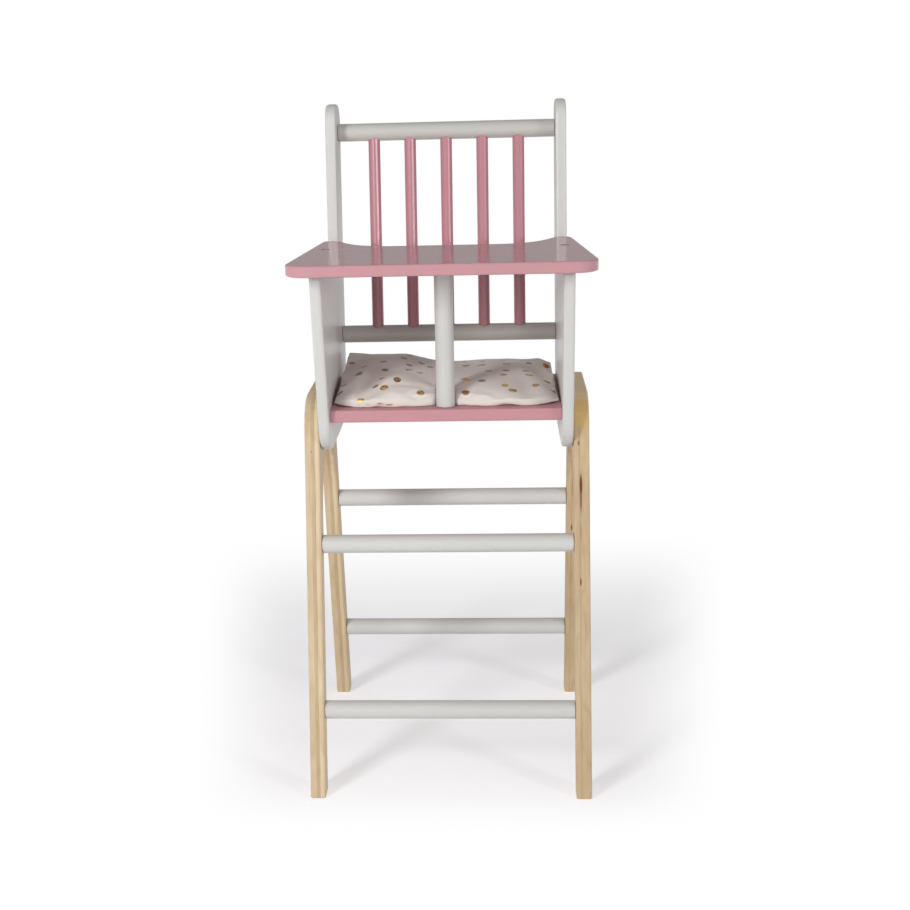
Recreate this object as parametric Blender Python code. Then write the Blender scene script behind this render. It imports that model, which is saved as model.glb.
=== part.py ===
"""Doll high chair: two plywood leg frames, two side panels, a railed back, a seat, a tray and a cushion.

Metres, +Z up, -Y to the front. Left and right are as seen from the front, so right is +X.
The origin is on the floor, midway between the four feet.
"""
import math

import bmesh
import bpy
from mathutils import Matrix, Vector

# Sizes that the whole chair follows. Heights but the first are measured from the top of the seat.
SEAT_HEIGHT = 0.3255
SEAT_WIDTH = 0.1925
BACK_HEIGHT = 0.2445
TRAY_RISE = 0.1273
FOOT_SPREAD = 0.2437
LEG_SPLAY = math.radians(11.25)
BACK_RECLINE = math.radians(6.3)

# Stock that the pieces are cut from
PANEL_THICKNESS = 0.0094
FRAME_THICKNESS = 0.013
SEAT_THICKNESS = 0.0105
TRAY_THICKNESS = 0.0095
ROD_DIAMETER = 0.0155
SPINDLE_DIAMETER = 0.0104
ROD_EDGE_RADIUS = 0.0004
GLUE_GAP = 0.0003

# Screws
SCREW_DIAMETER = 0.0034
SCREW_HEAD_DIAMETER = 0.0078
SCREW_HEAD_HEIGHT = 0.0024
SCREW_TIP_LENGTH = 0.0030
SCREW_BITE = 0.022
SCREW_SINK = 0.0010
SCREW_CLEARANCE = 0.0002
RECESS_WIDTH = 0.0009
RECESS_SPAN = 0.0038
RECESS_DEPTH = 0.0014

# Shaping that is the same everywhere
CUT_OVERRUN = 0.002
ROD_SIDES = 24
SPINDLE_SIDES = 20
SCREW_SIDES = 12
ARC_STEP = math.radians(11.25)
SMOOTH_ANGLE = math.radians(40)
UP = Vector((0, 0, 1))
RIGHT = Vector((1, 0, 0))
SIDES = (("left", -1), ("right", 1))

# Places worked out from the sizes above
CHAIR_HEIGHT = SEAT_HEIGHT + BACK_HEIGHT
TRAY_TOP = SEAT_HEIGHT + TRAY_RISE
TRAY_UNDERSIDE = TRAY_TOP - TRAY_THICKNESS
SEAT_UNDERSIDE = SEAT_HEIGHT - SEAT_THICKNESS
SEAT_MIDDLE = SEAT_HEIGHT - SEAT_THICKNESS / 2
PANEL_INNER = SEAT_WIDTH / 2
PANEL_OUTER = PANEL_INNER + PANEL_THICKNESS
FRAME_INNER = PANEL_OUTER + GLUE_GAP
FRAME_OUTER = FRAME_INNER + FRAME_THICKNESS


def clear_scene():
    for item in list(bpy.data.objects):
        bpy.data.objects.remove(item, do_unlink=True)


def paint(name, colour, roughness, metallic=0.0):
    """A Principled BSDF material of one colour."""
    material = bpy.data.materials.new(name)
    material.use_nodes = True
    shader = material.node_tree.nodes["Principled BSDF"]
    shader.inputs["Base Color"].default_value = (*colour, 1.0)
    shader.inputs["Roughness"].default_value = roughness
    shader.inputs["Metallic"].default_value = metallic
    return material


def finished_mesh(name, shape):
    """The mesh of a closed bmesh shape, with its faces pointing out."""
    bmesh.ops.recalc_face_normals(shape, faces=shape.faces)
    mesh = bpy.data.meshes.new(name)
    shape.to_mesh(mesh)
    shape.free()
    return mesh


def add_object(name, mesh, material=None, placing=None):
    mesh.shade_smooth()
    mesh.set_sharp_from_angle(angle=SMOOTH_ANGLE)
    item = bpy.data.objects.new(name, mesh)
    bpy.context.collection.objects.link(item)
    if material:
        mesh.materials.append(material)
    if placing:
        item.matrix_world = placing
    return item


def aimed(place, direction):
    """The placing that takes an object's origin to a place and its +Z along a direction."""
    return Matrix.Translation(place) @ direction.to_track_quat("Z", "Y").to_matrix().to_4x4()


def subtract(item, name, mesh, placing=None):
    """Take a hidden cutter out of an object."""
    cutter = add_object(name, mesh, placing=placing)
    cutter.hide_render = True
    cutter.display_type = "WIRE"
    taken = item.modifiers.new(name, "BOOLEAN")
    taken.operation = "DIFFERENCE"
    taken.solver = "EXACT"
    taken.object = cutter


def rounded_outline(corners):
    """Points round a closed outline of (a, b, radius) corners, each corner turned as an arc."""
    points = []
    count = len(corners)
    for index, (a, b, radius) in enumerate(corners):
        here = Vector((a, b))
        if radius == 0:
            points.append(here)
            continue
        before = (Vector(corners[index - 1][:2]) - here).normalized()
        after = (Vector(corners[(index + 1) % count][:2]) - here).normalized()
        half_angle = before.angle(after) / 2
        centre = here + (before + after).normalized() * radius / math.sin(half_angle)
        start = here + before * radius / math.tan(half_angle) - centre
        turn = math.pi - 2 * half_angle
        side = 1 if before.x * after.y < before.y * after.x else -1
        steps = max(2, math.ceil(turn / ARC_STEP))
        for step in range(steps + 1):
            points.append(centre + Matrix.Rotation(side * turn * step / steps, 2) @ start)
    return points


def prism_mesh(name, outline, low, high):
    """A closed solid from an outline in the XY plane, from one height to another."""
    shape = bmesh.new()
    base = shape.faces.new([shape.verts.new((x, y, low)) for x, y in outline])
    grown = bmesh.ops.extrude_face_region(shape, geom=[base])["geom"]
    raised = [element for element in grown if isinstance(element, bmesh.types.BMVert)]
    bmesh.ops.translate(shape, vec=UP * (high - low), verts=raised)
    return finished_mesh(name, shape)


def ease_edges(item, radius):
    """Round a board's sharp edges, before any hole is cut in it."""
    eased = item.modifiers.new("eased_edges", "BEVEL")
    eased.width = radius
    eased.segments = 2
    eased.limit_method = "ANGLE"
    eased.angle_limit = SMOOTH_ANGLE
    return eased


def ease_long_edges(item, radius, direction):
    """Round only the edges that run along a direction, and leave the board's ends square."""
    eased = ease_edges(item, radius)
    eased.limit_method = "WEIGHT"
    weights = item.data.attributes.new("bevel_weight_edge", "FLOAT", "EDGE")
    for edge in item.data.edges:
        start, end = [item.data.vertices[number].co for number in edge.vertices]
        weights.data[edge.index].value = (end - start).cross(direction).length < GLUE_GAP


def flat_board(name, outline, underside, thickness, material):
    """A board that lies flat: its outline is (to the right, to the rear)."""
    placing = Matrix.Translation(UP * underside)
    return add_object(name, prism_mesh(name, outline, 0, thickness), material, placing)


def upright_board(name, outline, left_face, thickness, edge_radius, material):
    """A board that stands on edge at one side of the chair: its outline is (to the rear, up)."""
    on_edge = Matrix(((0, 0, 1, 0), (1, 0, 0, 0), (0, 1, 0, 0), (0, 0, 0, 1)))
    placing = Matrix.Translation(RIGHT * left_face) @ on_edge
    board = add_object(name, prism_mesh(name, outline, 0, thickness), material, placing)
    ease_edges(board, edge_radius)
    return board


def add_turned(shape, profile, sides, placing=None):
    """Add a solid turned about Z to a shape. The profile is (radius, height) from one end to the other."""
    placing = placing or Matrix.Identity(4)
    rings = []
    for radius, height in profile:
        count = sides if radius else 1
        turns = [2 * math.pi * side / sides for side in range(count)]
        places = [Vector((radius * math.cos(turn), radius * math.sin(turn), height)) for turn in turns]
        rings.append([shape.verts.new(placing @ place) for place in places])
    for lower, upper in zip(rings, rings[1:]):
        for side in range(sides):
            after = (side + 1) % sides
            if len(lower) == 1:
                shape.faces.new((lower[0], upper[after], upper[side]))
            elif len(upper) == 1:
                shape.faces.new((lower[side], lower[after], upper[0]))
            else:
                shape.faces.new((lower[side], lower[after], upper[after], upper[side]))


def turned_mesh(name, profile, sides):
    shape = bmesh.new()
    add_turned(shape, profile, sides)
    return finished_mesh(name, shape)


def bore(item, name, cuts):
    """Take turned cuts out of an object. Each cut is (profile, sides, place, direction)."""
    shape = bmesh.new()
    for profile, sides, place, direction in cuts:
        add_turned(shape, profile, sides, aimed(place, direction))
    subtract(item, name, finished_mesh(name, shape))


def hole_profile(radius, depth):
    """A plain hole that starts an overrun before its surface."""
    return [(0, -CUT_OVERRUN), (radius, -CUT_OVERRUN), (radius, depth), (0, depth)]


PILOT_RADIUS = SCREW_DIAMETER / 2 + SCREW_CLEARANCE


def pilot_profile(bite):
    """A blind pilot hole for a screw that bites this far into a piece."""
    return hole_profile(PILOT_RADIUS, bite + SCREW_SINK + SCREW_CLEARANCE)


def countersunk_profile(length):
    """A hole through a board for a screw whose head is sunk below the board's surface."""
    head = SCREW_HEAD_DIAMETER / 2 + SCREW_CLEARANCE
    end = SCREW_SINK + length + SCREW_CLEARANCE
    return [
        (0, -CUT_OVERRUN),
        (head, -CUT_OVERRUN),
        (head, SCREW_SINK),
        (PILOT_RADIUS, SCREW_SINK + SCREW_HEAD_HEIGHT),
        (PILOT_RADIUS, end),
        (0, end),
    ]


def recess_mesh(name):
    """The cross recess in a screw's head."""
    wide = RECESS_SPAN / 2
    slim = RECESS_WIDTH / 2
    half = [(wide, slim), (slim, slim), (slim, wide), (-slim, wide), (-slim, slim), (-wide, slim)]
    return prism_mesh(name, half + [(-x, -y) for x, y in half], -CUT_OVERRUN, RECESS_DEPTH)


def add_screw(name, place, direction, length, material):
    """A countersunk screw driven in at a place on a surface. Returns the cut that its hole needs there."""
    shank = SCREW_DIAMETER / 2
    profile = [
        (0, 0),
        (SCREW_HEAD_DIAMETER / 2, 0),
        (shank, SCREW_HEAD_HEIGHT),
        (shank, length - SCREW_TIP_LENGTH),
        (0, length),
    ]
    placing = aimed(place + direction * SCREW_SINK, direction)
    screw = add_object(name, turned_mesh(name, profile, SCREW_SIDES), material, placing)
    recess = name + "_recess"
    subtract(screw, recess, recess_mesh(recess), placing)
    return countersunk_profile(length), SCREW_SIDES, place, direction


def add_rod(name, middle, direction, length, bites, material, diameter=ROD_DIAMETER, sides=ROD_SIDES):
    """A round rod with eased ends, and a pilot hole in each end that a screw bites into."""
    half = length / 2
    rim = diameter / 2
    profile = []
    for sign, bite in zip((-1, 1), bites):
        end = [(rim, half - ROD_EDGE_RADIUS), (rim - ROD_EDGE_RADIUS, half)]
        if bite:
            floor = half - bite - SCREW_SINK - SCREW_CLEARANCE
            end += [(PILOT_RADIUS, half), (PILOT_RADIUS, floor), (0, floor)]
        else:
            end += [(0, half)]
        end = [(radius, sign * height) for radius, height in end]
        profile += end[::-1] if sign < 0 else end
    return add_object(name, turned_mesh(name, profile, sides), material, aimed(middle, direction))


# Side panels: painted boards, each one piece of back post, arm and cheek
POST_WIDTH = 0.0425
POST_FRONT_AT_SEAT = 0.0409
POST_TOP_RADIUS = 0.015
CHEEK_FRONT_AT_SEAT = -0.0753
CHEEK_LEAN = math.radians(10.9)
CHEEK_DROP = 0.038
CHEEK_FRONT_RADIUS = 0.030
CHEEK_REAR_RADIUS = 0.020
ARM_TIP_RADIUS = 0.005
PANEL_EDGE_RADIUS = 0.0022
ARM_TOP = TRAY_UNDERSIDE - GLUE_GAP
ARM_MIDDLE = PANEL_INNER + PANEL_THICKNESS / 2


def post_front(height):
    """How far to the rear the front edge of the reclined posts lies at a height."""
    return POST_FRONT_AT_SEAT + (height - SEAT_HEIGHT) * math.tan(BACK_RECLINE)


def post_rear(height):
    return post_front(height) + POST_WIDTH


def cheek_front(height):
    """How far to the rear the front edge of the panels lies at a height."""
    return CHEEK_FRONT_AT_SEAT - (height - SEAT_HEIGHT) * math.tan(CHEEK_LEAN)


def panel_outline():
    bottom = SEAT_HEIGHT - CHEEK_DROP
    return rounded_outline([
        (cheek_front(bottom), bottom, CHEEK_FRONT_RADIUS),
        (post_rear(bottom), bottom, CHEEK_REAR_RADIUS),
        (post_rear(CHAIR_HEIGHT), CHAIR_HEIGHT, POST_TOP_RADIUS),
        (post_front(CHAIR_HEIGHT), CHAIR_HEIGHT, POST_TOP_RADIUS),
        (post_front(ARM_TOP), ARM_TOP, 0),
        (cheek_front(ARM_TOP), ARM_TOP, ARM_TIP_RADIUS),
    ])


# Back: two rails between the posts, just behind their middle, and spindles spaced evenly between the posts
TOP_RAIL_DROP = 0.025
LOWER_RAIL_RISE = 0.0409
BACK_RAIL_SETBACK = 0.0015
SPINDLE_COUNT = 5
SPINDLE_SOCKET_DEPTH = 0.006
SPINDLE_PITCH = SEAT_WIDTH / (SPINDLE_COUNT + 1)


def back_rail_middle(height):
    return Vector((0, post_front(height) + POST_WIDTH / 2 + BACK_RAIL_SETBACK, height))


TOP_RAIL_MIDDLE = back_rail_middle(CHAIR_HEIGHT - TOP_RAIL_DROP)
LOWER_RAIL_MIDDLE = back_rail_middle(SEAT_HEIGHT + LOWER_RAIL_RISE)


def make_back(rail_material, spindle_material):
    """Two rails with blind sockets that face each other, and the spindles between them."""
    rise = (TOP_RAIL_MIDDLE - LOWER_RAIL_MIDDLE).normalized()
    floor = ROD_DIAMETER / 2 - SPINDLE_SOCKET_DEPTH
    across = [RIGHT * SPINDLE_PITCH * (number - (SPINDLE_COUNT - 1) / 2) for number in range(SPINDLE_COUNT)]
    radius = SPINDLE_DIAMETER / 2 + GLUE_GAP
    reach = ROD_DIAMETER / 2 + CUT_OVERRUN
    socket = [(0, floor), (radius, floor), (radius, reach), (0, reach)]
    length = SEAT_WIDTH - 2 * GLUE_GAP
    bites = (SCREW_BITE, SCREW_BITE)
    for name, middle, way in (("top", TOP_RAIL_MIDDLE, -rise), ("lower", LOWER_RAIL_MIDDLE, rise)):
        label = name + "_back_rail"
        rail = add_rod(label, middle, RIGHT, length, bites, rail_material)
        bore(rail, label + "_sockets", [(socket, SPINDLE_SIDES, middle + offset, way) for offset in across])
    middle = (TOP_RAIL_MIDDLE + LOWER_RAIL_MIDDLE) / 2
    length = (TOP_RAIL_MIDDLE - LOWER_RAIL_MIDDLE).length - 2 * (floor + GLUE_GAP)
    for number, offset in enumerate(across, 1):
        name = "back_spindle_" + str(number)
        place = middle + offset
        add_rod(name, place, rise, length, (0, 0), spindle_material, SPINDLE_DIAMETER, SPINDLE_SIDES)


# Seat board: between the side panels, held by two screws at each end
SEAT_FRONT_SETBACK = 0.008
SEAT_REAR_SETBACK = 0.006
SEAT_EDGE_RADIUS = 0.0014
SEAT_SCREW_SPACING = 0.056
SEAT_FRONT = cheek_front(SEAT_HEIGHT) + SEAT_FRONT_SETBACK
SEAT_REAR = post_rear(SEAT_UNDERSIDE) - SEAT_REAR_SETBACK
SEAT_SCREWS = (("front", -SEAT_SCREW_SPACING / 2), ("rear", SEAT_SCREW_SPACING / 2))

# Tray: on the arms and the centre post, with a belly cut between two horns that meet the posts
TRAY_FRONT_OVERHANG = 0.0223
TRAY_SIDE_OVERHANG = 0.01905
TRAY_TAPER = math.radians(5.1)
TRAY_CORNER_RADIUS = 0.018
HORN_WIDTH = 0.0133
HORN_OUTER_RADIUS = 0.007
HORN_INNER_RADIUS = 0.008
BELLY_CUT_DEPTH = 0.0471
BELLY_CUT_SLANT = math.radians(63)
BELLY_CUT_RADIUS = 0.045
TRAY_EDGE_RADIUS = 0.0015
TRAY_SCREW_SETBACK = 0.0646
TRAY_FRONT = cheek_front(ARM_TOP) - TRAY_FRONT_OVERHANG
TRAY_REAR = post_front(TRAY_UNDERSIDE) - GLUE_GAP


def tray_screw_place(sign):
    """Where a tray screw enters, over the middle of an arm."""
    return Vector((sign * ARM_MIDDLE, TRAY_REAR - TRAY_SCREW_SETBACK, TRAY_TOP))


def tray_outline():
    front_half = PANEL_OUTER + TRAY_SIDE_OVERHANG
    rear_half = front_half - (TRAY_REAR - TRAY_FRONT) * math.tan(TRAY_TAPER)
    horn_half = rear_half - HORN_WIDTH
    cut_half = horn_half - BELLY_CUT_DEPTH / math.tan(BELLY_CUT_SLANT)
    right = [
        (front_half, TRAY_FRONT, TRAY_CORNER_RADIUS),
        (rear_half, TRAY_REAR, HORN_OUTER_RADIUS),
        (horn_half, TRAY_REAR, HORN_INNER_RADIUS),
        (cut_half, TRAY_REAR - BELLY_CUT_DEPTH, BELLY_CUT_RADIUS),
    ]
    return rounded_outline(right + [(-x, y, radius) for x, y, radius in reversed(right)])


# Centre post: a round rod just behind the seat's front edge, in a blind socket under the tray
CENTRE_POST_SETBACK = 0.005
CENTRE_POST_SOCKET_DEPTH = 0.004
CENTRE_POST_BITE = 0.018
CENTRE_POST_Y = SEAT_FRONT + CENTRE_POST_SETBACK + ROD_DIAMETER / 2


def make_seat(board_material, post_material, screw_material):
    """The seat board with pilot holes in its ends, and the centre post with its screw from beneath."""
    half = SEAT_WIDTH / 2 - GLUE_GAP
    outline = [(-half, SEAT_FRONT), (half, SEAT_FRONT), (half, SEAT_REAR), (-half, SEAT_REAR)]
    seat = flat_board("seat_board", outline, SEAT_UNDERSIDE, SEAT_THICKNESS, board_material)
    ease_long_edges(seat, SEAT_EDGE_RADIUS, RIGHT)
    cuts = []
    for side, sign in SIDES:
        for end, y in SEAT_SCREWS:
            place = Vector((sign * half, y, SEAT_MIDDLE))
            cuts.append((pilot_profile(SCREW_BITE), SCREW_SIDES, place, -sign * RIGHT))
    place = Vector((0, CENTRE_POST_Y, SEAT_UNDERSIDE))
    length = SEAT_THICKNESS + CENTRE_POST_BITE
    cuts.append(add_screw("centre_post_screw", place, UP, length, screw_material))
    bore(seat, "seat_holes", cuts)
    foot = SEAT_HEIGHT + GLUE_GAP
    head = TRAY_UNDERSIDE + CENTRE_POST_SOCKET_DEPTH - GLUE_GAP
    place = Vector((0, CENTRE_POST_Y, (foot + head) / 2))
    add_rod("centre_post", place, UP, head - foot, (CENTRE_POST_BITE, 0), post_material)


def make_tray(material, screw_material):
    """The tray, with a blind socket for the centre post and a screw into each arm."""
    tray = flat_board("tray", tray_outline(), TRAY_UNDERSIDE, TRAY_THICKNESS, material)
    ease_edges(tray, TRAY_EDGE_RADIUS)
    socket = hole_profile(ROD_DIAMETER / 2 + GLUE_GAP, CENTRE_POST_SOCKET_DEPTH)
    cuts = [(socket, ROD_SIDES, Vector((0, CENTRE_POST_Y, TRAY_UNDERSIDE)), UP)]
    for side, sign in SIDES:
        length = TRAY_THICKNESS + SCREW_BITE
        cuts.append(add_screw("tray_screw_" + side, tray_screw_place(sign), -UP, length, screw_material))
    bore(tray, "tray_holes", cuts)


def make_side_panels(material, screw_material):
    """Both panels, with holes for the seat screws, the back rail screws and the tray screws."""
    length = PANEL_THICKNESS + SCREW_BITE
    for side, sign in SIDES:
        left_face = min(sign * PANEL_INNER, sign * PANEL_OUTER)
        name = "side_panel_" + side
        panel = upright_board(name, panel_outline(), left_face, PANEL_THICKNESS, PANEL_EDGE_RADIUS, material)
        inward = -sign * RIGHT
        outer = sign * RIGHT * PANEL_OUTER
        cuts = []
        for level, middle in (("top", TOP_RAIL_MIDDLE), ("lower", LOWER_RAIL_MIDDLE)):
            label = level + "_back_rail_screw_" + side
            cuts.append(add_screw(label, middle + outer, inward, length, screw_material))
        through = hole_profile(PILOT_RADIUS, PANEL_THICKNESS + CUT_OVERRUN)
        for end, y in SEAT_SCREWS:
            cuts.append((through, SCREW_SIDES, outer + Vector((0, y, SEAT_MIDDLE)), inward))
        place = tray_screw_place(sign) - UP * (TRAY_TOP - ARM_TOP)
        cuts.append((pilot_profile(SCREW_BITE), SCREW_SIDES, place, -UP))
        bore(panel, name + "_holes", cuts)


# Leg frames: plywood, each an inverted U with splayed legs and a round-headed opening
LEG_WIDTH = 0.0176
FRAME_RISE = 0.0074
FRAME_HEAD_DEPTH = 0.0499
FRAME_FRONT_CORNER_RADIUS = 0.029
FRAME_REAR_CORNER_RADIUS = 0.014
FRAME_EDGE_RADIUS = 0.0015
FRAME_HEIGHT = SEAT_HEIGHT + FRAME_RISE

# Leg rails: round rods between the leg frames, in pairs at two heights
UPPER_LEG_RAIL_HEIGHT = 0.2108
LOWER_LEG_RAIL_HEIGHT = 0.0718


def leg_outer(height):
    """How far the outer edge of a leg is from the middle of the chair at a height."""
    return FOOT_SPREAD / 2 - height * math.tan(LEG_SPLAY)


def leg_inner(height):
    return leg_outer(height) - LEG_WIDTH / math.cos(LEG_SPLAY)


def frame_outline():
    """The frame's edge. The opening's head is an arc that runs smoothly into both legs."""
    crown = FRAME_HEIGHT - FRAME_HEAD_DEPTH
    slope = math.tan(LEG_SPLAY)
    stretch = 1 / math.cos(LEG_SPLAY)
    centre = (crown * stretch - leg_inner(0)) / (stretch - slope)
    radius = crown - centre
    points = rounded_outline([
        (-leg_outer(0), 0, 0),
        (-leg_outer(FRAME_HEIGHT), FRAME_HEIGHT, FRAME_FRONT_CORNER_RADIUS),
        (leg_outer(FRAME_HEIGHT), FRAME_HEIGHT, FRAME_REAR_CORNER_RADIUS),
        (leg_outer(0), 0, 0),
        (leg_inner(0), 0, 0),
    ])
    sweep = math.pi - 2 * LEG_SPLAY
    steps = math.ceil(sweep / ARC_STEP)
    for step in range(steps + 1):
        turn = LEG_SPLAY + sweep * step / steps
        points.append(Vector((radius * math.cos(turn), centre + radius * math.sin(turn))))
    return points + [Vector((-leg_inner(0), 0))]


def leg_rails():
    """Name and middle of each leg rail."""
    rails = []
    for end, sign in (("front", -1), ("rear", 1)):
        for level, height in (("upper", UPPER_LEG_RAIL_HEIGHT), ("lower", LOWER_LEG_RAIL_HEIGHT)):
            middle = (leg_outer(height) + leg_inner(height)) / 2
            rails.append((end + "_" + level + "_rail", Vector((0, sign * middle, height))))
    return rails


def make_legs(material, rail_material, screw_material):
    """Both frames and the rails between them, with the screws into the rails and the seat."""
    for side, sign in SIDES:
        left_face = min(sign * FRAME_INNER, sign * FRAME_OUTER)
        name = "leg_frame_" + side
        frame = upright_board(name, frame_outline(), left_face, FRAME_THICKNESS, FRAME_EDGE_RADIUS, material)
        inward = -sign * RIGHT
        outer = sign * RIGHT * FRAME_OUTER
        cuts = []
        for rail, middle in leg_rails():
            length = FRAME_THICKNESS + SCREW_BITE
            cuts.append(add_screw(rail + "_screw_" + side, middle + outer, inward, length, screw_material))
        for end, y in SEAT_SCREWS:
            label = "seat_screw_" + end + "_" + side
            place = outer + Vector((0, y, SEAT_MIDDLE))
            length = FRAME_THICKNESS + PANEL_THICKNESS + SCREW_BITE
            cuts.append(add_screw(label, place, inward, length, screw_material))
        bore(frame, name + "_holes", cuts)
    length = 2 * (FRAME_INNER - GLUE_GAP)
    for name, middle in leg_rails():
        add_rod(name, middle, RIGHT, length, (SCREW_BITE, SCREW_BITE), rail_material)


# Cushion: a thin stuffed pad between the panels, notched round the centre post, its rear under the rail
CUSHION_SIDE_CLEARANCE = 0.0015
CUSHION_SETBACK = 0.008
CUSHION_TUCK = 0.0035
CORNER_SETBACK = 0.017
SIDE_DRAW = 0.0016
REAR_DRAW = 0.0030
NOTCH_CLEARANCE = 0.0018
SEAM_RISE_FRONT = 0.0065
SEAM_RISE_REAR = 0.0160
SEAM_TILT_REAR = 0.0065
PUFF_FRONT = 0.0100
PUFF_REAR = 0.0052
MIDDLE_DIP = 0.0030
FOLD_RISE = 0.0018
FOLD_WIDTH = 0.0060
# Across, as shares of the half width, and along, as shares of the half depth
NOTCH_WIDTH_SHARE = 0.105
DIP_WIDTH_SHARE = 0.22
FOLD_START_SHARES = (-0.64, -0.70)
FOLD_END_SHARES = (-0.26, 0.12)
# The grid of the cloth, and how much finer it is at the rim and the notch than between them
CUSHION_COLUMNS = 36
CUSHION_ROWS = 16
FINER_SHARE = 0.7
# Powers that say how far in each shape reaches
CORNER_POWER = 5
PUFF_POWER = 3
TILT_POWER = 2
NOTCH_POWER = 4
CUSHION_FRONT = SEAT_FRONT + CUSHION_SETBACK
CUSHION_REAR = LOWER_RAIL_MIDDLE.y + CUSHION_TUCK


def fine_ended(step, count):
    """A share from 0 to 1 whose steps are finer near both ends."""
    even = step / count
    return even - FINER_SHARE * math.sin(2 * math.pi * even) / (2 * math.pi)


def grid_shares(column, row):
    """Shares from -1 to 1 across and along, finer at the rim and at the notch in the middle."""
    half = CUSHION_COLUMNS // 2
    across = math.copysign(fine_ended(abs(column - half), half), column - half)
    return across, 2 * fine_ended(row, CUSHION_ROWS) - 1


def cushion_plan(across, along):
    """Where a point of the cloth lies in plan."""
    rearward = (1 + along) / 2
    notch = CENTRE_POST_Y + ROD_DIAMETER / 2 + NOTCH_CLEARANCE - CUSHION_FRONT
    front = CUSHION_FRONT + CORNER_SETBACK * abs(across) ** CORNER_POWER
    front += notch * math.exp(-((across / NOTCH_WIDTH_SHARE) ** NOTCH_POWER))
    rear = CUSHION_REAR - REAR_DRAW * (1 - across ** 2)
    x = across * (PANEL_INNER - CUSHION_SIDE_CLEARANCE - SIDE_DRAW * (1 - along ** 2))
    return Vector((x, front + (rear - front) * rearward))


def fold_rise(across, along):
    """The diagonal fold over the left lobe."""
    start = Vector(FOLD_START_SHARES)
    run = Vector(FOLD_END_SHARES) - start
    share = max(0, min(1, (Vector((across, along)) - start).dot(run) / run.length_squared))
    away = (cushion_plan(across, along) - cushion_plan(*(start + run * share))).length / FOLD_WIDTH
    return FOLD_RISE * math.exp(-(away ** 2))


def cloth_heights(across, along):
    """Heights of the lower and the upper cloth over the seat. Both meet at the seam along the rim."""
    rearward = (1 + along) / 2
    seam = SEAM_RISE_FRONT + (SEAM_RISE_REAR - SEAM_RISE_FRONT) * rearward
    seam -= SEAM_TILT_REAR * across * rearward ** TILT_POWER
    swell = math.sqrt((1 - abs(across) ** PUFF_POWER) * (1 - abs(along) ** PUFF_POWER))
    puff = PUFF_FRONT + (PUFF_REAR - PUFF_FRONT) * rearward + fold_rise(across, along)
    puff -= MIDDLE_DIP * math.exp(-((across / DIP_WIDTH_SHARE) ** 2))
    return seam * (1 - min(1, 2 * swell)), seam + swell * puff


def make_cushion(material):
    """Upper and lower cloth on one grid, sewn along the rim."""
    shape = bmesh.new()
    lower = {}
    upper = {}
    for column in range(CUSHION_COLUMNS + 1):
        for row in range(CUSHION_ROWS + 1):
            shares = grid_shares(column, row)
            plan = cushion_plan(*shares)
            low, high = cloth_heights(*shares)
            upper[column, row] = shape.verts.new((plan.x, plan.y, high))
            if column in (0, CUSHION_COLUMNS) or row in (0, CUSHION_ROWS):
                lower[column, row] = upper[column, row]
            else:
                lower[column, row] = shape.verts.new((plan.x, plan.y, low))
    for column in range(CUSHION_COLUMNS):
        for row in range(CUSHION_ROWS):
            corners = ((column, row), (column + 1, row), (column + 1, row + 1), (column, row + 1))
            shape.faces.new([upper[corner] for corner in corners])
            shape.faces.new([lower[corner] for corner in reversed(corners)])
    mesh = bpy.data.meshes.new("seat_cushion")
    shape.to_mesh(mesh)
    shape.free()
    add_object("seat_cushion", mesh, material, Matrix.Translation(UP * (SEAT_HEIGHT + GLUE_GAP)))


clear_scene()
white = paint("white_paint", (0.66, 0.66, 0.64), 0.35)
pink = paint("pink_paint", (0.66, 0.30, 0.36), 0.25)
spindle_pink = paint("spindle_paint", (0.58, 0.25, 0.30), 0.35)
pine = paint("pine_plywood", (0.62, 0.46, 0.28), 0.55)
cotton = paint("cushion_cotton", (0.72, 0.62, 0.60), 0.9)
steel = paint("zinc_steel", (0.55, 0.52, 0.50), 0.4, 0.9)
make_side_panels(white, steel)
make_back(white, spindle_pink)
make_seat(pink, white, steel)
make_tray(pink, steel)
make_legs(pine, white, steel)
make_cushion(cotton)
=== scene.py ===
"""A wooden doll high chair with a printed cotton seat cushion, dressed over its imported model."""
import math

import bmesh
import bpy
from mathutils import Matrix, Vector, noise


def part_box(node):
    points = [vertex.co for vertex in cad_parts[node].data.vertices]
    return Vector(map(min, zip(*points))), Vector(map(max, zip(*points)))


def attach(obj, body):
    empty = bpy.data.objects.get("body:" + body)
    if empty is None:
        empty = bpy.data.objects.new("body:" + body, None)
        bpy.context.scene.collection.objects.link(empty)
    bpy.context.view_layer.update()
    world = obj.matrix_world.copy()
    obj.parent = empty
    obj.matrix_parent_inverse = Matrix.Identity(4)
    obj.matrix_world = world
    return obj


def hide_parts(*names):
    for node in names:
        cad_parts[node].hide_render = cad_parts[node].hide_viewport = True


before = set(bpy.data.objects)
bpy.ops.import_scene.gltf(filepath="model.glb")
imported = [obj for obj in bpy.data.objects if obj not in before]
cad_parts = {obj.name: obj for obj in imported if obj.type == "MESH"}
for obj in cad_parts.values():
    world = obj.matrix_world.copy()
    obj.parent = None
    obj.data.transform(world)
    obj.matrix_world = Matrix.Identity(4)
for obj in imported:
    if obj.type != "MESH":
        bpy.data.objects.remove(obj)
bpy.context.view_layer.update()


# Leg frames. Each is an inverted U sawn from one sheet of pine plywood and clear lacquered, so its edges
# show the plies: some run up the legs and look pale, others run across and show their darker end grain.
def add_node(tree, kind, feeds=None, **settings):
    """One shader node. A socket is fed by another node's socket, or holds a plain value."""
    made = tree.nodes.new("ShaderNode" + kind)
    for name, value in settings.items():
        setattr(made, name, value)
    for socket, value in (feeds or {}).items():
        if isinstance(value, bpy.types.NodeSocket):
            tree.links.new(value, made.inputs[socket])
        else:
            made.inputs[socket].default_value = value
    return made


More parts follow.
